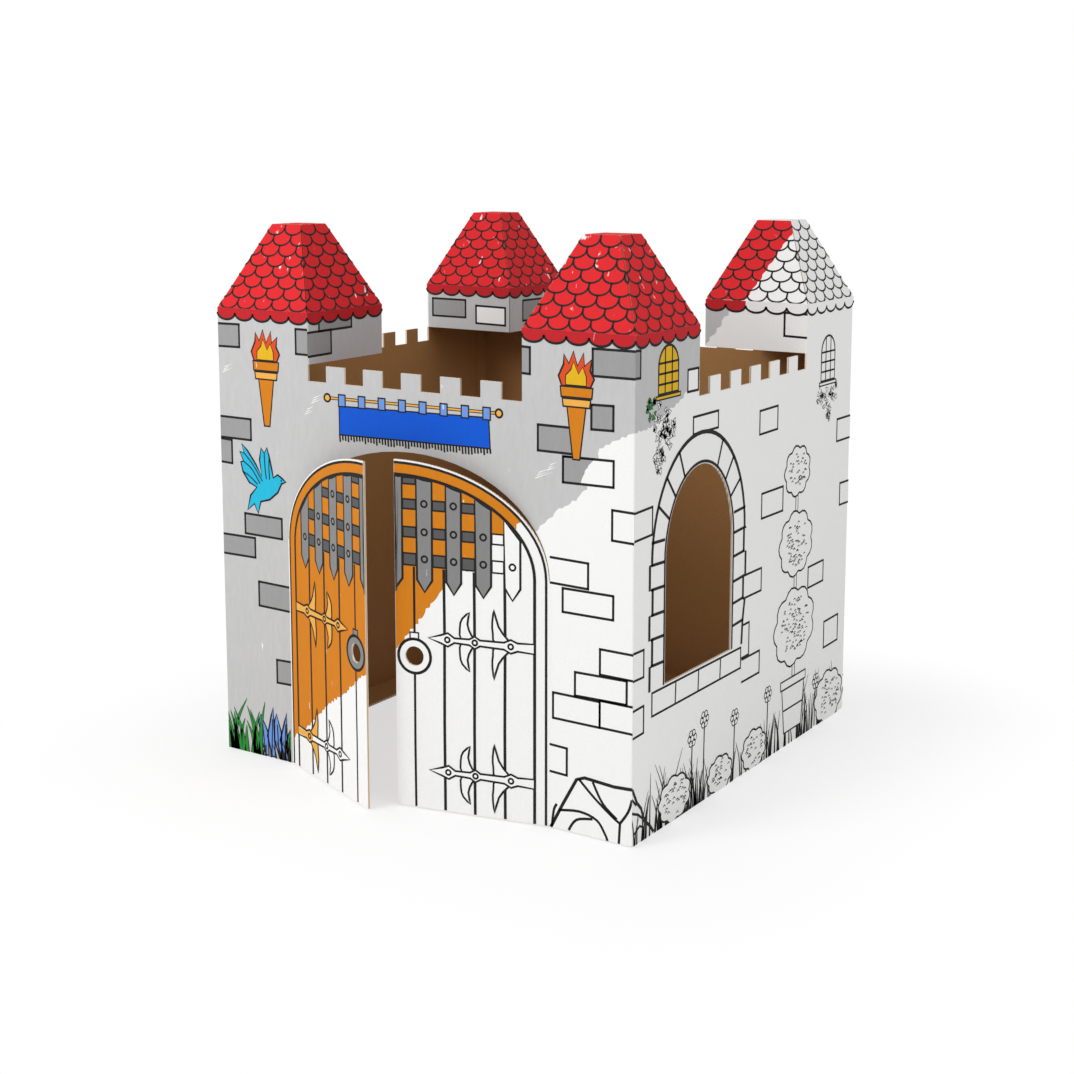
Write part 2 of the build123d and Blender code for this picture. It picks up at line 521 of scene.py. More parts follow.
def leaf_cluster(art, x, z, radius, count, fill):
    """Ivy: small pointed leaves scattered in a round cluster."""
    outline = [(1, 0), (0.25, 0.55), (-0.6, 0.75), (-0.35, 0), (-0.6, -0.75), (0.25, -0.55)]
    for _ in range(count):
        a = chance.uniform(0, 2 * pi)
        r = radius * sqrt(chance.random())
        size = chance.uniform(5.5, 8.5)
        turn = chance.uniform(0, 2 * pi)
        points = [
            (
                x + r * cos(a) + size * (p * cos(turn) - q * sin(turn)),
                z + r * sin(a) + size * (p * sin(turn) + q * cos(turn)),
            )
            for p, q in outline
        ]
        art.shape(points, fill, 4 + chance.choice((0, 1)), 1.5)


def bush(art, x, z, half, tall, fill=WHITE, layer=3):
    """A clipped bush: a scalloped outline with short pen marks inside."""
    lobes = 9
    points = []
    for k in range(lobes):
        for step in range(4):
            a = 2 * pi * (k + step / 4) / lobes
            swell = 1 + 0.13 * abs(sin(pi * step / 4))
            points.append((x + half * swell * cos(a), z + tall * swell * sin(a)))
    art.shape(points, fill, layer, FINE_LINE)
    for _ in range(int(half * tall / 60)):
        a = chance.uniform(0, 2 * pi)
        r = 0.78 * sqrt(chance.random())
        px = x + half * r * cos(a)
        pz = z + tall * r * sin(a)
        art.stroke([(px, pz), (px + 4, pz + 3), (px + 8, pz)], 2.2, layer + 1)


def lattice_window(art, x, low, half, tall, fill):
    """A small arched window with leaded panes."""
    spring = low + tall - half
    frame_line = [(x + half, low)] + arch_points(x, spring, half, half, count=12) + [(x - half, low)]
    art.shape(frame_line, fill, 4, INK_LINE)
    for share in (-0.33, 0.33):
        art.stroke([(x + share * half, low), (x + share * half, spring + half * 0.9)], FINE_LINE, 5)
    for k in range(1, 4):
        z = low + tall * 0.21 * k
        art.stroke([(x - half, z), (x + half, z)], FINE_LINE, 5)
    reach = half + 7
    ledge = [(x - reach, low - 9), (x + reach, low - 9), (x + reach, low), (x - reach, low)]
    art.shape(ledge, fill, 5, FINE_LINE)


FRONT = surface((0, -HALF_DEPTH, 0), (1, 0, 0), (0, 0, 1))
RIGHT = surface((HALF_WIDTH, 0, 0), (0, 1, 0), (0, 0, 1))
BACK = surface((0, HALF_DEPTH, 0), (-1, 0, 0), (0, 0, 1))
LEFT = surface((-HALF_WIDTH, 0, 0), (0, -1, 0), (0, 0, 1))


def trim_to_wall(art, half_span):
    """Trims a wall's drawing where it runs past a fold or under the floor."""
    art.keep_side((half_span, 0), (1, 0))
    art.keep_side((-half_span, 0), (-1, 0))
    art.keep_side((0, 0.5), (0, -1))


def battlement(half_span):
    """The top line of a wall from one tower to the other, from left to right."""
    steps = 11
    pitch = 2 * half_span / steps
    line = []
    for k in range(steps):
        height = WALL_TOP if k % 2 else CRENEL_FLOOR
        line += [(-half_span + k * pitch, height), (-half_span + (k + 1) * pitch, height)]
    return line


# ---- front wall ----
front = Print("front_wall_print")
front_span = HALF_WIDTH - TOWER
wash = [(-HALF_WIDTH, 0), (-HALF_WIDTH, EAVE), (-front_span, EAVE)]
wash += battlement(front_span)
wash += [(front_span, EAVE), (HALF_WIDTH, EAVE)]
wash += ragged([(HALF_WIDTH, 706), (420, 690), (389, 672), (380, 630), (352, 590), (311, 563), (262, 521)])
wash += arch_points(0, SPRING, DOORWAY_HALF, DOORWAY_RISE, 26, 180)
wash += [(-DOORWAY_HALF, 0)]
front.shape(wash, GREY_WASH, 1, 0)
for x0, x1, z0, z1, opened in (
    (-455, -402, 792, 835, "left"),
    (-263, -235, 788, 834, "right"),
    (-455, -378, 617, 657, "left"),
    (-455, -427, 568, 613, "left"),
    (-398, -306, 435, 474, ""),
    (-455, -374, 391, 429, "left"),
    (-367, -291, 297, 344, "right"),
    (-326, -291, 154, 199, "right"),
    (374, 455, 794, 839, "right"),
    (235, 251, 788, 833, "left"),
    (372, 414, 706, 747, ""),
    (267, 341, 660, 704, ""),
):
    brick(front, x0, x1, z0, z1, STONE, opened)
brick(front, 317, 415, 612, 656)
front.shape([(317, 612)] + ragged([(352, 613), (364, 640), (378, 655)], 2, 5) + [(317, 656)], STONE, 3, 0)
for x0, x1, z0, z1, opened in (
    (413, 455, 522, 573, "right"),
    (291, 367, 434, 478, "left"),
    (317, 416, 388, 429, ""),
    (391, 455, 290, 334, "right"),
    (342, 443, 247, 288, ""),
    (298, 391, 198, 243, ""),
    (391, 455, 198, 245, "right"),
    (291, 326, 101, 149, "left"),
):
    brick(front, x0, x1, z0, z1, WHITE, opened)
torch(front, -337, 646)
torch(front, 343, 650)

# slivers that the crayon missed, where its strokes end
for x, z, wide in ((-228, 700, 26), (-244, 678, 20), (-446, 742, 24), (262, 612, 34), (286, 628, 18)):
    for k, share in enumerate((1.0, 0.6, 0.8)):
        start = (x + 3 * k, z + 5 * k)
        end = (start[0] + wide * share, start[1] + wide * share * 0.4)
        front.stroke([start, end], width=1.8, layer=2, fill=WHITE, tip=0.1)

# the banner: a rod with eight tabs, a plain field and a fringe
front.shape([(-187, 710), (-187, 716), (185, 719), (185, 713)], AMBER, 4, 2.2)
front.disc(-190, 713, 9, AMBER, 5, FINE_LINE)
front.disc(188, 716, 9, AMBER, 5, FINE_LINE)
front.shape([(-164, 701), (-164, 646), (171, 652), (168, 708)], BLUE, 4, FINE_LINE)
for k in range(8):
    x = -156 + 45.5 * k
    lift = 3.4 * k / 7
    tab = [(x - 9, 698 + lift), (x + 9, 698 + lift), (x + 9, 722 + lift), (x - 9, 722 + lift)]
    front.shape(tab, PALE_BLUE, 6, FINE_LINE)
for k in range(52):
    x = -162 + 6.5 * k
    z = 647 + 6 * (x + 164) / 335
    front.stroke([(x, z), (x + 0.8, z - chance.uniform(8, 14))], FINE_LINE, 4)

# a swallow in flight: forked tail, round head and two raised wings
swallow = [
    (-392, 480), (-384, 512), (-368, 528), (-386, 534), (-402, 554), (-407, 574), (-400, 576),
    (-409, 594), (-398, 592), (-403, 610), (-386, 597), (-366, 573), (-354, 552), (-360, 582),
    (-354, 606), (-346, 597), (-339, 608), (-332, 590), (-326, 566), (-324, 552), (-314, 559),
    (-302, 553), (-292, 545), (-303, 540), (-313, 522), (-334, 506), (-356, 500), (-364, 476), (-374, 494),
]
front.shape(swallow, SKY, 4, FINE_LINE)
for line in (
    [(-400, 576), (-378, 562), (-358, 536)],
    [(-398, 592), (-374, 570), (-352, 541)],
    [(-402, 556), (-384, 548), (-364, 534)],
    [(-346, 596), (-345, 572), (-342, 546)],
    [(-334, 588), (-335, 568), (-334, 546)],
):
    front.stroke(curve(line, 3), 2.6, 5)
front.disc(-305, 547, 2.0, INK, 5, 0, 8)

# boulders in the right-hand corner
front.shape([(294, 2), (318, 48), (346, 98), (362, 104), (455, 101), (455, 2)], WHITE, 2, 0)
front.stroke([(294, 2), (318, 48), (346, 98), (362, 104), (420, 100), (455, 102)], 6.0, 4)
for line in (
    [(350, 100), (382, 72), (418, 46), (432, 38)],
    [(378, 100), (398, 66), (426, 44)],
    [(432, 38), (448, 62), (455, 84)],
    [(432, 38), (430, 2)],
    [(310, 36), (352, 42), (386, 34), (402, 14), (408, 2)],
    [(330, 4), (346, 26), (378, 34)],
    [(296, 4), (300, 34), (306, 46)],
):
    front.stroke(curve(line, 4), 4.8, 4)
trim_to_wall(front, HALF_WIDTH)
front.lay(FRONT)

# grass with broad leaves in the left-hand corner, trimmed clear of the leaf's crease
blades(front, -452, -372, 118, 15, GREEN)
for x, lean, tall in ((-360, -10, 84), (-344, 6, 104), (-326, -4, 92), (-312, 8, 98), (-300, 4, 66)):
    broad = [(x, 2), (x - 12, tall * 0.4), (x - 8 + lean, tall * 0.8), (x + lean, tall)]
    broad += [(x + 9, tall * 0.6), (x + 10, 2)]
    front.shape(broad, PALE_BLUE if tall > 70 else GREEN, 3, FINE_LINE)
    front.stroke([(x, 4), (x + lean * 0.6, tall * 0.75)], 2.6, 5)
blades(front, -376, -293, 42, 16)
trim_to_wall(front, HALF_WIDTH)
front.keep_side((-295, 0), (1, 0))
front.lay(FRONT)
front.make()


# ---- right wall ----
right = Print("right_wall_print")
side_span = HALF_DEPTH - TOWER
wash = [(-HALF_DEPTH, EAVE), (-side_span, EAVE), (-side_span, 768)]
wash += ragged([(-side_span, 768), (-290, 742), (-372, 712), (-HALF_DEPTH, 704)])
right.shape(wash, GREY_WASH, 1, 0)

# the window: a line round its opening, and another round the stones that frame it
WINDOW_Y = -208.0
SILL = 256
OPENING_HALF = 128
OPENING_SPRING = 470
OPENING_RISE = 154
STONES_HALF = 172
STONES_SPRING = 478
STONES_RISE = 198
stones = [(-385, SILL), (-385, 300), (-377, 300), (-377, 346), (-387, 346), (-387, 388)]
stones += [(-377, 388), (-377, 432), (-387, 432), (-387, 474), (-379, 474)]
stones += arch_points(WINDOW_Y, STONES_SPRING, STONES_HALF, STONES_RISE, 180, 0, 30)
stones += [(-31, 474), (-38, 474), (-38, 430), (-30, 430), (-30, 383), (-38, 383), (-38, 342)]
stones += [(-30, 342), (-38, 300), (-41, SILL)]
right.stroke(stones, STONE_LINE, 4)
opening = [(WINDOW_Y - OPENING_HALF, SILL), (WINDOW_Y - OPENING_HALF, OPENING_SPRING)]
opening += arch_points(WINDOW_Y, OPENING_SPRING, OPENING_HALF, OPENING_RISE, 180, 0, 30)
opening += [(WINDOW_Y + OPENING_HALF, SILL)]
right.stroke(opening, BOLD_LINE, 4)
for z in (300, 346, 388, 432, 474, 512):
    right.stroke([(-382, z), (WINDOW_Y - OPENING_HALF, z - 2)], BOLD_LINE, 4)
for z in (300, 342, 383, 430, 474, 512):
    right.stroke([(WINDOW_Y + OPENING_HALF, z - 1), (-34, z + 2)], BOLD_LINE, 4)
for turn in (28, 44, 62, 118, 136, 152):
    a = radians(turn)
    inner = (WINDOW_Y + OPENING_HALF * cos(a), OPENING_SPRING + OPENING_RISE * sin(a))
    outer = (WINDOW_Y + STONES_HALF * cos(a), STONES_SPRING + STONES_RISE * sin(a))
    right.stroke([inner, outer], BOLD_LINE, 4)
right.shape([(-378, 209), (-41, 209), (-41, 252), (-378, 254)], WHITE, layer=3, line=6.0)
for y in (-294, -210, -126):
    right.stroke([(y, 210), (y + 2, 252)], INK_LINE, 4)
for y0, y1, z0, z1, opened in (
    (-440, -380, 527, 574, "left"),
    (-440, -405, 288, 335, "left"),
    (-440, -404, 191, 238, "left"),
    (-240, -147, 676, 706, ""),
    (34, 126, 478, 525, ""),
    (-38, 38, 341, 384, "left"),
    (-41, -10, 229, 291, "left"),
    (-39, 36, 182, 225, "left"),
    (374, 440, 576, 621, "right"),
    (396, 440, 441, 486, "right"),
    (333, 402, 158, 212, ""),
    (-262, -224, 752, 790, ""),
    (250, 322, 300, 342, ""),
    (20, 96, 640, 684, ""),
):
    brick(right, y0, y1, z0, z1, WHITE, opened)
brick(right, -440, -424, 794, 839, STONE, "left")
lattice_window(right, -330, 758, 36, 84, SUN)
leaf_cluster(right, -388, 738, 17, 16, GREEN)
for y, z, size in ((-358, 716, 28), (-328, 702, 26), (-346, 676, 28), (-360, 648, 20)):
    leaf_cluster(right, y, z, size, 24, WHITE)
lattice_window(right, 322, 706, 34, 92, WHITE)
for y, z, size in ((288, 680, 18), (318, 668, 24), (352, 684, 18), (334, 640, 16)):
    leaf_cluster(right, y, z, size, 15, WHITE)

# a clipped tree in a tub, standing where the wall is otherwise bare
TREE_Y = 190.0
for foot, top, low, high, layer, line in (
    (40, 52, 26, 118, 5, INK_LINE),
    (58, 58, 116, 136, 6, INK_LINE),
    (7, 6, 134, 560, 3, FINE_LINE),
):
    outline = [(TREE_Y - foot, low), (TREE_Y + foot, low), (TREE_Y + top, high), (TREE_Y - top, high)]
    right.shape(outline, WHITE, layer, line)
right.stroke([(TREE_Y - 46, 74), (TREE_Y + 46, 74)], FINE_LINE, 6)
for z, half in ((236, 84), (402, 70), (545, 54)):
    bush(right, TREE_Y, z, half, half * 0.86, WHITE, 4)

# a bed of flowers and grass along the floor
blades(right, -436, 436, 84, 92)
blades(right, -380, -180, 124, 24)
blades(right, 210, 430, 130, 22)
for y, z, half, tall in ((-292, 40, 54, 40), (-120, 30, 46, 34), (20, 36, 48, 38), (364, 48, 64, 52)):
    bush(right, y, z, half, tall, WHITE, 5)
for y, z in ((-232, 130), (-186, 152), (-66, 122), (74, 128), (296, 96)):
    right.stroke([(y, 4), (y + 3, z)], FINE_LINE, 4)
    for k in range(6):
        a = 2 * pi * k / 6
        right.disc(y + 3 + 10 * cos(a), z + 10 * sin(a), 7.5, WHITE, 5, 2.2, 8)
    right.disc(y + 3, z, 7, WHITE, 6, 2.2, 10)

# the boulders of the front corner, carried on round the fold
right.stroke([(-440, 102), (-424, 74), (-410, 60), (-398, 34), (-380, 20), (-366, 4)], 6.0, 5)
for line in (
    [(-440, 60), (-420, 52), (-404, 40)],
    [(-440, 84), (-426, 70)],
    [(-436, 20), (-414, 30), (-398, 22)],
):
    right.stroke(line, INK_LINE, 5)
trim_to_wall(right, HALF_DEPTH)
right.lay(RIGHT)
right.make()


# ---- left and back walls ----
def scattered_bricks(art, half_span, fill, clear):
    """Bricks at about the front wall's spacing, in rows that miss the space kept clear."""
    for row in range(15):
        low = 150 + 46 * row
        high = low + 42
        start = -half_span + chance.uniform(20, 200)
        while start < half_span - TOWER / 2:
            end = start + chance.uniform(82, 98)
            in_the_way = start < clear[1] and end > clear[0] and low < clear[3] and high > clear[2]
            under_gaps = high < CRENEL_FLOOR - 6
            on_tower = abs(start + 45) > half_span - 150
            if not in_the_way and (under_gaps or on_tower):
                brick(art, start, end, low, high, fill)
            start += chance.uniform(190, 420)


left = Print("left_wall_print")
scattered_bricks(left, HALF_DEPTH, STONE, (-150, 150, 300, 640))
lattice_window(left, 0, 380, 88, 210, SUN)
torch(left, -240, 430)
torch(left, 240, 430)
blades(left, -436, 436, 110, 72, GREEN)
blades(left, -436, 436, 60, 80)
trim_to_wall(left, HALF_DEPTH)
left.lay(LEFT)
left.make()

back = Print("back_wall_print")
scattered_bricks(back, HALF_WIDTH, WHITE, (-190, 190, 240, 640))
lattice_window(back, 0, 340, 110, 260, WHITE)
for x, z, size in ((-184, 330, 44), (172, 356, 48), (200, 290, 38), (184, 236, 26)):
    leaf_cluster(back, x, z, size, 34, WHITE)
for x, half in ((-330, 70), (-190, 52), (60, 58), (250, 66), (380, 50)):
    bush(back, x, 50, half, half * 0.7, WHITE, 5)
blades(back, -450, 450, 84, 100)
trim_to_wall(back, HALF_WIDTH)
back.lay(BACK)
back.make()


# ---- tower flaps and roofs ----
FLAP_HALF = TOWER / 2
TILE = TOWER / 5.25
ROWS = 8
ROW = ROOF_SLANT / ROWS
TILE_DROP = 14.0  # from the sides of a tile's round end to its lowest point
HANG = 9.0  # from the eave to the sides of a hanging tile's round end
HANG_DROP = 13.0
FACES = ("front", "right", "back", "left")
FACE_END = 400.0  # past the end of any face of a tower
HALF_RED = {"front": -40.0, "right": -FACE_END, "back": -FACE_END, "left": FACE_END}
RED_SIDE = [(-FLAP_HALF, 0), (-FLAP_HALF + ROOF_RUN, ROOF_SLANT), (36, ROOF_SLANT)]
RED_EDGE = [(46, 0.86 * ROOF_SLANT), (-24, 0)]


def tile_row(art, offset, low):
    """One row of tile ends, each an arc with its sides running up to the row above."""
    count = int(TOWER / TILE) + 2
    for k in range(-count // 2 - 1, count // 2 + 2):
        x = k * TILE + offset
        wobble = chance.uniform(-0.8, 0.8)
        arc = []
        for turn in range(-90, 91, 18):
            a = radians(turn)
            arc.append((x + TILE / 2 * sin(a) + wobble, low + TILE_DROP * (1 - cos(a)) + wobble))
        art.stroke(arc, 3.6, 4)
        art.stroke([(x - TILE / 2, low + TILE_DROP), (x - TILE / 2, low + ROW + 1)], FINE_LINE, 4)


def hanging_tiles(art, red_to):
    """The lowest row of tiles, hanging below the eave fold, in the roof's red darkened as painted shade of
    their upright face.
    """
    count = 5
    wide = TOWER / count
    for k in range(count):
        x = -FLAP_HALF + wide * (k + 0.5)
        edge = []
        for turn in range(-90, 91, 15):
            a = radians(turn)
            edge.append((x + wide / 2 * sin(a), EAVE - HANG - HANG_DROP * cos(a)))
        tile = [(x - wide / 2, EAVE)] + edge + [(x + wide / 2, EAVE)]
        # coloured tiles get the roof's red darkened as painted shade, since they stand upright below the
        # eave
        art.shape(tile, PAINTED_SHADE_RED if x < red_to else WHITE, 6, 0)
        art.stroke(edge, INK_LINE, 7)


def flap_bricks(art, name, face, fill):
    """The bricks on a flap folded in over the walls."""
    if (name, face) == ("front_left", "right"):
        brick(art, -FLAP_HALF, -43, 785, 829, STONE, "left")
        brick(art, -77, 17, 829, 857, STONE, "top")
    elif (name, face) == ("back_left", "front"):
        brick(art, -94, -6, 796, 834, STONE)
        brick(art, 22, 98, 784, 822, WHITE)
    elif (name, face) == ("back_right", "front"):
        brick(art, 62, FLAP_HALF, 800, 845, WHITE, "right")
        grey = [(-FLAP_HALF, 772), (-FLAP_HALF, EAVE)]
        grey += ragged([(-40, EAVE), (-80, 812), (-FLAP_HALF, 772)])[:-1]
        art.shape(grey, GREY_WASH, 1, 0)
    else:
        brick(art, -60, 34, 790, 834, fill)


def roof_panel(art, partly_red):
    """The tiles of one roof panel, trimmed to its hips, flat top and eave."""
    if partly_red:
        art.shape(RED_SIDE + ragged(RED_EDGE, 2.5, 5), RED, 1, 0)
    for row in range(ROWS):
        tile_row(art, TILE / 2 * (row % 2), row * ROW)
    art.keep_side((FLAP_HALF, 0), (ROOF_SLANT, ROOF_RUN))
    art.keep_side((-FLAP_HALF, 0), (-ROOF_SLANT, ROOF_RUN))
    art.keep_side((0, ROOF_SLANT), (0, 1))
    art.keep_side((0, 0), (0, -1))


def print_tower(x_side, y_side):
    """The print of one tower, face by face. The back right tower is only half coloured."""
    name = ("front" if y_side < 0 else "back") + ("_left" if x_side < 0 else "_right")
    half_coloured = name == "back_right"
    tower = Print(f"{name}_tower_print")
    for quarter, face in enumerate(FACES):
        turn = Matrix.Rotation(quarter * pi / 2, 3, "Z")
        along = turn @ Vector((1, 0, 0))
        out = turn @ Vector((0, -1, 0))
        foot = Vector((x_side * TOWER_X, y_side * TOWER_Y, 0)) + out * FLAP_HALF
        red_to = HALF_RED[face] if half_coloured else FACE_END
        if out.x * x_side < -0.5 or out.y * y_side < -0.5:
            flap_bricks(tower, name, face, STONE if red_to > 0 else WHITE)
        hanging_tiles(tower, red_to)
        tower.lay(surface(foot, along, (0, 0, 1)))
        roof_panel(tower, half_coloured and face == "front")
        up = Vector((-out.x * ROOF_RUN, -out.y * ROOF_RUN, ROOF_TOP - EAVE))
        tower.lay(surface(foot + Vector((0, 0, EAVE)), along, up))
    tower.make()


for x_side in (-1, 1):
    for y_side in (-1, 1):
        print_tower(x_side, y_side)


# ---- door leaves, drawn by the distance u from the crease ----
BARS = ((273, 290), (216, 249), (161, 193), (105, 138), (51, 84))  # the first is half a bar
BANDS = ((585, 603), (541, 561), (491, 512), (441, 465))
BOLTS = (588, 553, 503, 455)
PLANKS = (253, 196, 139, 82)
BAR_SHOULDER = 417  # floor to where a bar narrows
BAR_POINT = 394
BAR_INSET = 27  # from the leaf's arched edge to the tops of the bars
FRAME_INSET = 26
EDGE_INSET = 5
CROWN = 89.8  # degrees: the top of the arch, just short of the leaf's free edge
HOLE_U = 253.5  # the middle of the finger hole
HOLE_Z = 279
PRINT_FOOT = 2.5  # floor to the lower edge of a leaf's print
PRINT_START = 0.8  # from the crease to the print
STRIP_REACH = 2.5  # how far the strip of liner runs on each side of the crease
STRIP_FOOT = 4
STRIP_TOP = 438


def on_leaf(side, points):
    """Points drawn by their distance from the crease, for the left leaf (1) or the right one (-1)."""
    return [(side * u, z) for u, z in points]


def leaf_arch(inset, start, end, count=20):
    """The arch of a leaf, that far inside its cut edge."""
    arch = arch_points(0, SPRING, LEAF_EDGE - inset, LEAF_RISE - inset, start, end, count)
    return [(HINGE_X - x, z) for x, z in arch]


def arch_height(u, inset):
    """Height of that arch above the floor at a distance from the crease."""
    share = min(abs(HINGE_X - u) / (LEAF_EDGE - inset), 1)
    return SPRING + (LEAF_RISE - inset) * sqrt(1 - share**2)


def round_hole(radius, count):
    """A closed circle round the middle of the finger hole."""
    turns = [2 * pi * k / count for k in range(count + 1)]
    return [(HOLE_U + radius * cos(a), HOLE_Z + radius * sin(a)) for a in turns]


def leaf_colour(art, side, coloured):
    """Orange crayon down to a ragged edge; on the coloured leaf it leaves the finger hole open."""
    if coloured:
        lower = [(5, 52), (72, 96), (104, 123), (156, 162), (216, 198), (270, 238), (LEAF_EDGE, 252)]
        orange = leaf_arch(EDGE_INSET, CROWN, 0) + lower[:1] + ragged(lower)
        orange += [(LEAF_EDGE, HOLE_Z)] + round_hole(18.5, 24)[::-1] + [(LEAF_EDGE, HOLE_Z + 0.01)]
    else:
        lower = [(50, 540), (74, 508), (105, 490), (138, 448), (160, 440), (195, 415), (203, 403)]
        lower += [(240, 350), (LEAF_EDGE, 286)]
        orange = leaf_arch(EDGE_INSET, CROWN, 33) + ragged(lower)
    art.shape(on_leaf(side, orange), WOOD, 1, 0)


def leaf_planks(art, side):
    """The lines between planks, a little uneven; the first is broken by the ring pull."""
    first = PLANKS[0]
    art.stroke(on_leaf(side, [(first, 440), (first, 322)]), INK_LINE, 3)
    art.stroke(on_leaf(side, [(first, 250), (first + 0.5, 120), (first, 3)]), INK_LINE, 3)
    for u in PLANKS[1:]:
        art.stroke(on_leaf(side, [(u, 440), (u - 0.6, 330), (u + 0.5, 160), (u, 3)]), BOLD_LINE, 3)


def portcullis(art, side, coloured):
    """Cross bands, and over them the pointed bars with their bolts."""
    for low, high in BANDS:
        for outer_bar, inner_bar in zip(BARS, BARS[1:]):
            u0 = inner_bar[1]
            u1 = outer_bar[0]
            top = min(high, arch_height(u0, BAR_INSET))
            if top - low < 6:
                continue
            grey = coloured or u0 > 100 or low > 500
            band = [(u0 - 2, low), (u1 + 2, low), (u1 + 2, top), (u0 - 2, top)]
            art.shape(on_leaf(side, band), DARK_IRON if grey else WHITE, 4, INK_LINE)
    for k, (u0, u1) in enumerate(BARS):
        middle = (u0 + u1) / 2
        iron = IRON if coloured or k < 4 else WHITE
        if k:
            outline = [(u0, BAR_SHOULDER), (middle, BAR_POINT), (u1, BAR_SHOULDER)]
        else:
            # the doubled point thickens the half bar's line along the leaf's free edge
            outline = [(u0, BAR_SHOULDER), (u1, BAR_POINT), (u1, BAR_POINT)]
        outline += [(u, arch_height(u, BAR_INSET)) for u in (u1, middle, u0)]
        art.shape(on_leaf(side, outline), iron, 5, INK_LINE)
        bolts = [z for z in BOLTS if k and z < arch_height(u0, BAR_INSET) - 8]
        for z in bolts:
            art.disc(side * middle, z, 7.5, iron, 6, FINE_LINE, 10)


def leaf_frame(art, side):
    """The inner and the outer line of the frame, from the arch down to the floor."""
    for inset, width in ((FRAME_INSET, BOLD_LINE), (EDGE_INSET, INK_LINE)):
        line = leaf_arch(inset, CROWN, 0)
        line += [(HINGE_X - (LEAF_EDGE - inset), PRINT_FOOT)]
        art.stroke(on_leaf(side, line), width, 6)


def ring_pull(art, side, iron):
    """The ring round the finger hole, and the plate it hangs from."""
    art.stroke(on_leaf(side, round_hole(24.5, 36)), 13.5, 4, iron)
    art.stroke(on_leaf(side, round_hole(31, 36)), BOLD_LINE, 5)
    plate = [(244, 309), (263, 309), (263, 323), (244, 323)]
    art.shape(on_leaf(side, plate), iron, 5, FINE_LINE)


def strap_hinge(art, z, side, fill, near_fill):
    """A drawn strap hinge: a shaft with a pointed end and two pairs of curling leaves."""
    shaft = [(26, 10), (58, 9), (71, 14), (84, 8), (128, 7), (138, 13), (149, 7), (176, 6), (189, 14)]
    shaft += [(203, 9), (228, 0)]
    shaft += [(u, -dz) for u, dz in reversed(shaft[:-1])]
    long_curl = [(58, 0), (76, 14), (92, 34), (102, 64), (107, 40), (106, 20), (100, 0), (58, 0)]
    short_curl = [(130, 0), (143, 14), (150, 32), (147, 54), (163, 42), (168, 24), (164, 0), (130, 0)]
    for up in (1, -1):
        for curl, colour in ((long_curl, near_fill), (short_curl, fill)):
            outline = [(u, z + up * dz) for u, dz in curve(curl, 2)[:-1]]
            art.shape(on_leaf(side, outline), colour, 7, FINE_LINE)
    art.shape(on_leaf(side, [(u, z + dz) for u, dz in shaft]), fill, 8, FINE_LINE)
    if near_fill is not fill:
        near = [(26, 6), (58, 5), (71, 10), (84, 4)]
        near += [(u, -dz) for u, dz in reversed(near)]
        art.shape(on_leaf(side, [(u, z + dz) for u, dz in near]), near_fill, 9, 0)
    for u in (71, 138, 190):
        art.disc(side * u, z, 6.5, near_fill if u < 84 else fill, 10, FINE_LINE, 10)


def crease_strip(leaf_name, side, turn):
    """The crease: a strip of liner, half on the wall and half on the leaf, bent at the angle at which the
    leaf stands open.
    """
    fold = Vector((-side * HINGE_X, -HALF_DEPTH - 0.05, 0))
    along_leaf = Vector((side * cos(turn), -sin(turn), 0))
    strip = bmesh.new()
    made = bmesh.ops.create_grid(strip, x_segments=12, y_segments=20, size=1)
    middle = (STRIP_TOP + STRIP_FOOT) / 2
    half = (STRIP_TOP - STRIP_FOOT) / 2
    for corner in made["verts"]:
        across = corner.co.x * STRIP_REACH
        height = Vector((0, 0, middle + corner.co.y * half))
        on_wall = across * side < 0
        reach = Vector((across, 0, 0)) if on_wall else along_leaf * abs(across)
        corner.co = (fold + reach + height) * MM
    bmesh.ops.recalc_face_normals(strip, faces=strip.faces)
    if strip.faces[:][0].normal.y > 0:
        bmesh.ops.reverse_faces(strip, faces=strip.faces)
    data = bpy.data.meshes.new(f"{leaf_name}_crease")
    strip.to_mesh(data)
    strip.free()
    data.materials.append(WHITE)
    crease = bpy.data.objects.new(f"{leaf_name}_crease", data)
    bpy.context.scene.collection.objects.link(crease)
    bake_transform(crease)


for leaf_name, side in (("left", 1), ("right", -1)):
    coloured = leaf_name == "left"
    iron = IRON if coloured else WHITE
    amber = AMBER if coloured else WHITE
    turn = radians(LEAF_OPEN[leaf_name])
    art = Print(f"{leaf_name}_door_print", f"{leaf_name}_leaf")
    leaf_colour(art, side, coloured)
    leaf_planks(art, side)
    portcullis(art, side, coloured)
    leaf_frame(art, side)
    ring_pull(art, side, iron)
    strap_hinge(art, 315, side, amber, amber)
    strap_hinge(art, 74, side, WHITE, amber)
    art.keep_side((side * (LEAF_EDGE - 0.2), 0), (side, 0))
    art.keep_side((side * PRINT_START, 0), (-side, 0))
    art.keep_side((0, PRINT_FOOT), (0, -1))
    art.lay(surface((-side * HINGE_X, -HALF_DEPTH, 0), (cos(turn), -side * sin(turn), 0), (0, 0, 1)))
    art.make()
    crease_strip(leaf_name, side, turn)


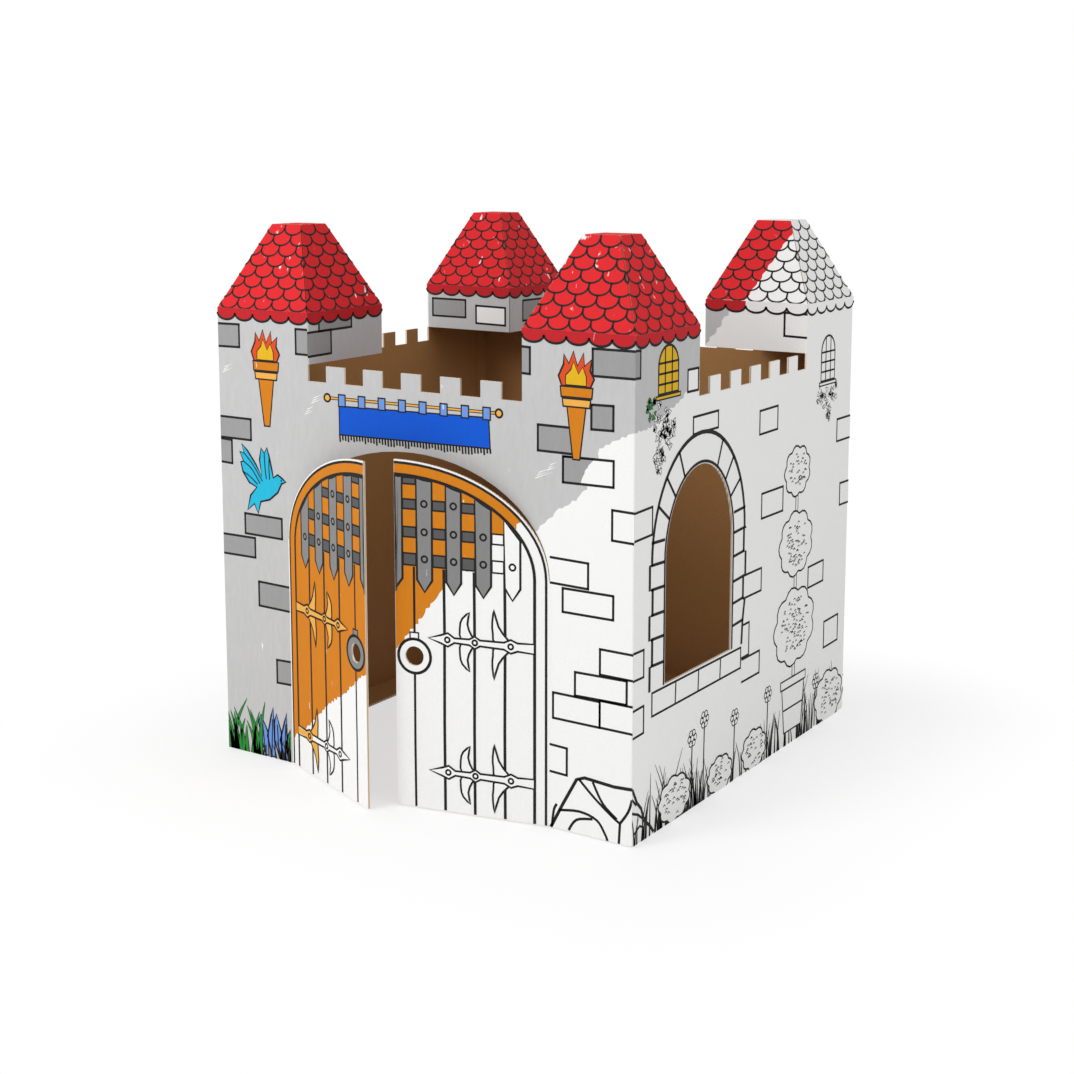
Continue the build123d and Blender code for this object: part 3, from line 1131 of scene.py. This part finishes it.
# ---- floor, light and camera ----
def floor_finish(name):
    """A white studio floor with a pale shadow at the castle's foot, fading to plain white round it."""
    material, tree = new_material(name)
    place = add_node(tree, "ShaderNodeTexCoord").outputs["Object"]
    half = add_node(tree, "ShaderNodeVectorMath", {"operation": "ABSOLUTE"}, links={0: place})
    beyond = add_node(
        tree,
        "ShaderNodeVectorMath",
        {"operation": "SUBTRACT"},
        {1: (HALF_WIDTH * MM, HALF_DEPTH * MM, 0)},
        {0: half.outputs[0]},
    )
    outside = add_node(
        tree,
        "ShaderNodeVectorMath",
        {"operation": "MAXIMUM"},
        {1: (0, 0, 0)},
        {0: beyond.outputs[0]},
    )
    away = add_node(tree, "ShaderNodeVectorMath", {"operation": "LENGTH"}, links={0: outside.outputs[0]})
    fade = add_node(
        tree,
        "ShaderNodeMapRange",
        {"interpolation_type": "SMOOTHSTEP"},
        {"From Min": 0.0, "From Max": 0.5, "To Min": 0.6, "To Max": 1.0},
        {"Value": away.outputs["Value"]},
    )
    seen = add_node(tree, "ShaderNodeLightPath").outputs["Is Camera Ray"]
    share = add_node(
        tree, "ShaderNodeMath", {"operation": "MULTIPLY"}, links={0: fade.outputs[0], 1: seen}
    )
    matte = add_node(tree, "ShaderNodeBsdfDiffuse", inputs={"Color": linear("#FAFAFA")})
    plain = add_node(tree, "ShaderNodeEmission", inputs={"Color": (1, 1, 1, 1), "Strength": 1.0})
    both = add_node(
        tree,
        "ShaderNodeMixShader",
        links={0: share.outputs[0], 1: matte.outputs[0], 2: plain.outputs[0]},
    )
    add_node(tree, "ShaderNodeOutputMaterial", links={"Surface": both.outputs[0]})
    return material


# the floor lies just below the castle, so that the two share no plane
floor_mesh = bmesh.new()
bmesh.ops.create_grid(floor_mesh, x_segments=1, y_segments=1, size=30)
bmesh.ops.translate(floor_mesh, vec=(0, 0, -0.6 * MM), verts=floor_mesh.verts)
floor_data = bpy.data.meshes.new("studio_floor")
floor_mesh.to_mesh(floor_data)
floor_mesh.free()
floor_data.materials.append(floor_finish("white_studio_floor"))
floor = bpy.data.objects.new("studio_floor", floor_data)
bpy.context.scene.collection.objects.link(floor)

world = bpy.data.worlds.new("soft_room")
bpy.context.scene.world = world
world.use_nodes = True
world.node_tree.nodes.clear()
path = add_node(world.node_tree, "ShaderNodeLightPath")
seen = add_node(
    world.node_tree,
    "ShaderNodeMath",
    {"operation": "MAXIMUM"},
    links={0: path.outputs["Is Camera Ray"], 1: path.outputs["Is Glossy Ray"]},
)
ambient, backdrop = (
    add_node(
        world.node_tree, "ShaderNodeBackground", inputs={"Color": (1, 1, 1, 1), "Strength": strength}
    )
    for strength in (0.66, 1.0)
)
both = add_node(
    world.node_tree,
    "ShaderNodeMixShader",
    links={0: seen.outputs[0], 1: ambient.outputs[0], 2: backdrop.outputs[0]},
)
add_node(world.node_tree, "ShaderNodeOutputWorld", links={"Surface": both.outputs[0]})


def soft_lamp(name, place, target, size, power):
    """A large square lamp at place, aimed at target."""
    lamp = bpy.data.lights.new(name, "AREA")
    lamp.size = size
    lamp.energy = power
    holder = bpy.data.objects.new(name, lamp)
    holder.location = place
    holder.rotation_mode = "QUATERNION"
    holder.rotation_quaternion = (Vector(target) - Vector(place)).to_track_quat("-Z", "Y")
    bpy.context.scene.collection.objects.link(holder)


soft_lamp("key_lamp", (-1.6, -3.6, 3.0), (0, 0, 0.45), 1.8, 88)
soft_lamp("fill_lamp", (3.6, -0.6, 2.6), (0, 0, 0.45), 2.2, 17)

lens = bpy.data.cameras.new("camera")
lens.sensor_width = 36.0
lens.lens = 58.59
lens.shift_y = -0.1233
lens.clip_start = 0.05
lens.clip_end = 100.0
camera = bpy.data.objects.new("camera", lens)
camera.location = (1.84836, -2.86535, 1.17037)
camera.rotation_euler = (radians(90 - 8.5), 0, radians(33.135))
bpy.context.scene.collection.objects.link(camera)
bpy.context.scene.camera = camera
bpy.context.scene.view_settings.view_transform = "Standard"
